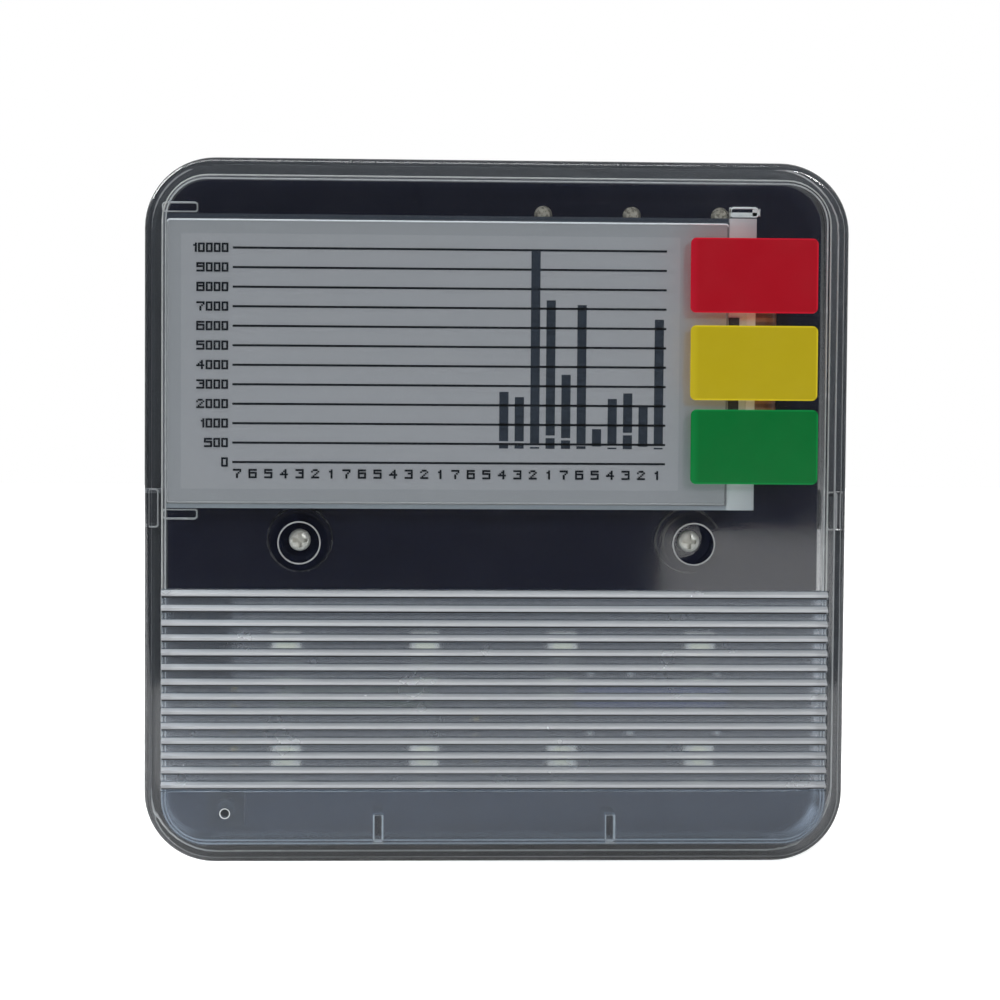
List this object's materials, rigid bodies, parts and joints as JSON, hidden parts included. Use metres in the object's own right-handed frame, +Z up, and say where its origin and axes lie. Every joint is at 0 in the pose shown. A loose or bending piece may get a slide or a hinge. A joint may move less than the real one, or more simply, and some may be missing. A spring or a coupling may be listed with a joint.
{
  "type": "carbon dioxide controller",
  "caption": "Square wall unit that shows carbon dioxide as a bar chart behind a clear cover, with air louvres, coloured labels, screw terminals and a pinhole switch.",
  "frame": {"origin": "middle of the box round the part, at the level of its underside", "axes": "+Z up as it hangs on the wall, +Y into the wall, the cover faces -Y, +X to the right seen from the front"},
  "size_m": [0.0864, 0.026, 0.086],
  "materials": {
    "clear_cover": "clear, frosted over the louvres",
    "label_red": "printed film",
    "label_yellow": "printed film",
    "label_green": "printed film",
    "screw_steel": "bright zinc",
    "shell_plastic": "fine texture",
    "insert_brass": "knurled",
    "board_black": "black solder resist",
    "display_glass": "polished",
    "display_film": "satin",
    "display_sheet": "matt grey with a dark printed chart",
    "driver_chip": "silicon",
    "spacer_black": "moulded",
    "tape_foam": "foam tape",
    "ribbon_orange": "polyimide film",
    "connector_plastic": "moulded",
    "latch_plastic": "moulded",
    "led_white": "white moulding",
    "led_lens": "cast resin",
    "switch_plastic": "moulded",
    "switch_steel": "stamped",
    "plunger_plastic": "moulded",
    "dome_steel": "spring steel",
    "sensor_plastic": "moulded",
    "sensor_board": "green solder resist",
    "sensor_housing": "gold plated",
    "sensor_filter": "woven membrane",
    "pin_gold": "gold plated",
    "radio_board": "blue solder resist",
    "shield_steel": "tinned",
    "relay_plastic": "moulded",
    "pin_tinned": "tinned",
    "terminal_plastic": "moulded",
    "cage_steel": "plated",
    "terminal_screw_steel": "plated",
    "solder_tinned": "solder",
    "inductor_ferrite": "sintered",
    "capacitor_base_plastic": "moulded",
    "capacitor_aluminium": "drawn can",
    "chip_plastic": "moulded",
    "lead_tinned": "tinned",
    "chip_capacitor": "fired",
    "chip_resistor": "fired"
  },
  "bodies": {
    "base": {"rear_shell": "shell_plastic", "screw_inserts": "insert_brass", "main_board": "board_black", "display_glass": "display_glass", "display_film": "display_film", "display_sheet": "display_sheet", "display_driver_chip": "driver_chip", "display_spacer": "spacer_black", "display_tape": "tape_foam", "display_ribbon": "ribbon_orange", "ribbon_connector": "connector_plastic", "led_packages": "led_white", "led_lenses": "led_lens", "switch_base": "switch_plastic", "switch_plate": "switch_steel", "switch_dome": "dome_steel", "humidity_sensor": "sensor_plastic", "co2_sensor_board": "sensor_board", "co2_sensor_housing": "sensor_housing", "co2_sensor_filter": "sensor_filter", "co2_sensor_pins": "pin_gold", "radio_board": "radio_board", "radio_shield": "shield_steel", "relay_case": "relay_plastic", "relay_pins": "pin_tinned", "terminal_block": "terminal_plastic", "terminal_cages": "cage_steel", "terminal_screws": "terminal_screw_steel", "terminal_pins": "solder_tinned", "power_inductor": "inductor_ferrite", "capacitor_bases": "capacitor_base_plastic", "capacitor_cans": "capacitor_aluminium", "control_chips": "chip_plastic", "chip_leads": "lead_tinned", "chip_capacitors": "chip_capacitor", "chip_resistors": "chip_resistor"},
    "cover": {"front_cover": "clear_cover", "label_red": "label_red", "label_yellow": "label_yellow", "label_green": "label_green", "cover_screws": "screw_steel"},
    "switch_plunger": {"switch_plunger": "plunger_plastic"},
    "ribbon_latch": {"ribbon_latch": "latch_plastic"}
  },
  "joints": [
    {"name": "cover_lift", "type": "slide", "parent": "base", "child": "cover", "axis": [0, -1, 0], "range_m": [0, 0.03]},
    {"name": "switch_press", "type": "slide", "parent": "base", "child": "switch_plunger", "axis": [0, 1, 0], "range_m": [0, 0.00025], "stiffness_N_per_m": 1500},
    {"name": "latch_flip", "type": "hinge", "parent": "base", "child": "ribbon_latch", "pos_m": [0.02278, -0.0067, 0.0613], "axis": [0, 0, -1], "range_deg": [0, 90]}
  ]
}
